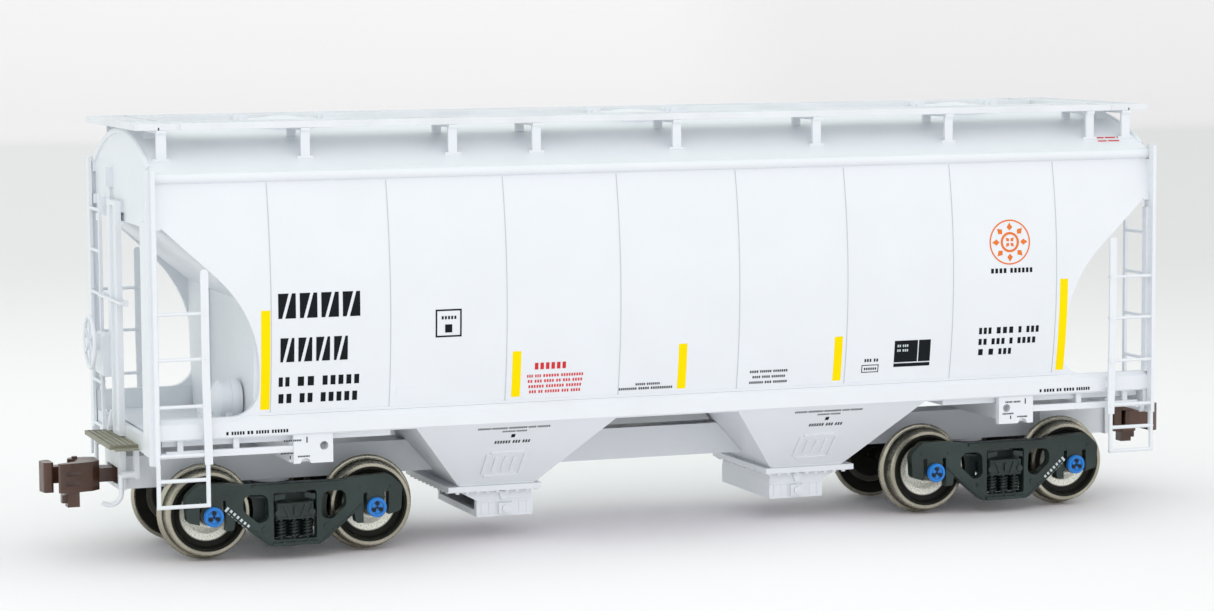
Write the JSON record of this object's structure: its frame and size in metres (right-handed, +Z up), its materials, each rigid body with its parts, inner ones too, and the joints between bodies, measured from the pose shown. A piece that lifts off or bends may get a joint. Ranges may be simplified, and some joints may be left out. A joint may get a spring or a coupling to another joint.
{
  "type": "model hopper car",
  "caption": "HO scale covered hopper car with curved sides, sloped outlet bays, roof walks, swivelling trucks, rolling wheels and swinging knuckle couplers.",
  "frame": {"origin": "on the track plane at the bottom of the wheel flanges, midway between the ends and the sides", "axes": "+X along the car towards the end with no hand brake, +Y to the far side, +Z up"},
  "size_m": [0.1536, 0.038, 0.0539],
  "materials": {
    "body_paint": "satin white paint",
    "weight_steel": "raw steel",
    "etched_brass": "blackened etched metal",
    "coupler_plastic": "matt",
    "truck_plastic": "satin",
    "wheel_metal": "polished nickel",
    "cap_blue": "satin blue"
  },
  "bodies": {
    "carbody": {"side_sheet_near": "body_paint", "side_sheet_far": "body_paint", "roof_sheet": "body_paint", "end_wall_b": "body_paint", "end_wall_a": "body_paint", "slope_sheet_b": "body_paint", "slope_sheet_a": "body_paint", "centre_ridge": "body_paint", "side_sill_near": "body_paint", "side_sill_far": "body_paint", "centre_sill": "body_paint", "ballast": "weight_steel", "bolster_web_b": "body_paint", "bolster_web_a": "body_paint", "hopper_b": "body_paint", "hopper_a": "body_paint", "outlet_b": "body_paint", "outlet_a": "body_paint", "stub_sill_b": "body_paint", "stub_sill_a": "body_paint", "end_frame_b": "body_paint", "end_frame_a": "body_paint", "ladder_b_near": "body_paint", "ladder_b_far": "body_paint", "ladder_a_near": "body_paint", "ladder_a_far": "body_paint", "walk_near": "body_paint", "walk_far": "body_paint", "end_walk_b": "body_paint", "end_walk_a": "body_paint", "walk_brackets": "body_paint", "hatch_lids": "body_paint", "brake_stand": "body_paint", "brake_platform": "etched_brass", "air_gear": "body_paint", "end_fittings": "body_paint"},
    "truck_b": {"side_frame_b_near": "truck_plastic", "side_frame_b_far": "truck_plastic", "truck_bolster_b": "truck_plastic", "springs_b": "truck_plastic", "brake_beams_b": "truck_plastic"},
    "truck_a": {"side_frame_a_near": "truck_plastic", "side_frame_a_far": "truck_plastic", "truck_bolster_a": "truck_plastic", "springs_a": "truck_plastic", "brake_beams_a": "truck_plastic"},
    "wheels_b1": {"wheelset_b1": "wheel_metal", "caps_b1": "cap_blue"},
    "wheels_b2": {"wheelset_b2": "wheel_metal", "caps_b2": "cap_blue"},
    "wheels_a1": {"wheelset_a1": "wheel_metal", "caps_a1": "cap_blue"},
    "wheels_a2": {"wheelset_a2": "wheel_metal", "caps_a2": "cap_blue"},
    "coupling_b": {"coupler_b": "coupler_plastic"},
    "coupling_a": {"coupler_a": "coupler_plastic"},
    "jaw_b": {"knuckle_b": "coupler_plastic"},
    "jaw_a": {"knuckle_a": "coupler_plastic"},
    "hand_wheel": {"brake_wheel": "body_paint"}
  },
  "joints": [
    {"name": "truck_b_swivel", "type": "hinge", "parent": "carbody", "child": "truck_b", "pos_m": [-0.04806, 0, 0.0082], "axis": [0, 0, 1], "range_deg": [-9, 9]},
    {"name": "axle_b1_roll", "type": "hinge", "parent": "truck_b", "child": "wheels_b1", "pos_m": [-0.05826, 0, 0.00588], "axis": [0, 1, 0], "continuous": true},
    {"name": "axle_b2_roll", "type": "hinge", "parent": "truck_b", "child": "wheels_b2", "pos_m": [-0.03785, 0, 0.00588], "axis": [0, 1, 0], "continuous": true},
    {"name": "coupler_b_swing", "type": "hinge", "parent": "carbody", "child": "coupling_b", "pos_m": [-0.0616, 0, 0.0101], "axis": [0, 0, 1], "range_deg": [-9, 9], "stiffness_Nm_per_rad": 0.0005},
    {"name": "knuckle_b_open", "type": "hinge", "parent": "coupling_b", "child": "jaw_b", "pos_m": [-0.0723, 0.00155, 0.0101], "axis": [0, 0, -1], "range_deg": [0, 35], "stiffness_Nm_per_rad": 0.0002},
    {"name": "truck_a_swivel", "type": "hinge", "parent": "carbody", "child": "truck_a", "pos_m": [0.04806, 0, 0.0082], "axis": [0, 0, 1], "range_deg": [-9, 9]},
    {"name": "axle_a1_roll", "type": "hinge", "parent": "truck_a", "child": "wheels_a1", "pos_m": [0.03785, 0, 0.00588], "axis": [0, 1, 0], "continuous": true},
    {"name": "axle_a2_roll", "type": "hinge", "parent": "truck_a", "child": "wheels_a2", "pos_m": [0.05826, 0, 0.00588], "axis": [0, 1, 0], "continuous": true},
    {"name": "coupler_a_swing", "type": "hinge", "parent": "carbody", "child": "coupling_a", "pos_m": [0.0616, 0, 0.0101], "axis": [0, 0, 1], "range_deg": [-9, 9], "stiffness_Nm_per_rad": 0.0005},
    {"name": "knuckle_a_open", "type": "hinge", "parent": "coupling_a", "child": "jaw_a", "pos_m": [0.0723, -0.00155, 0.0101], "axis": [0, 0, -1], "range_deg": [0, 35], "stiffness_Nm_per_rad": 0.0002},
    {"name": "hand_wheel_turn", "type": "hinge", "parent": "carbody", "child": "hand_wheel", "pos_m": [-0.0689, 0.0076, 0.0256], "axis": [1, 0, 0], "continuous": true}
  ]
}
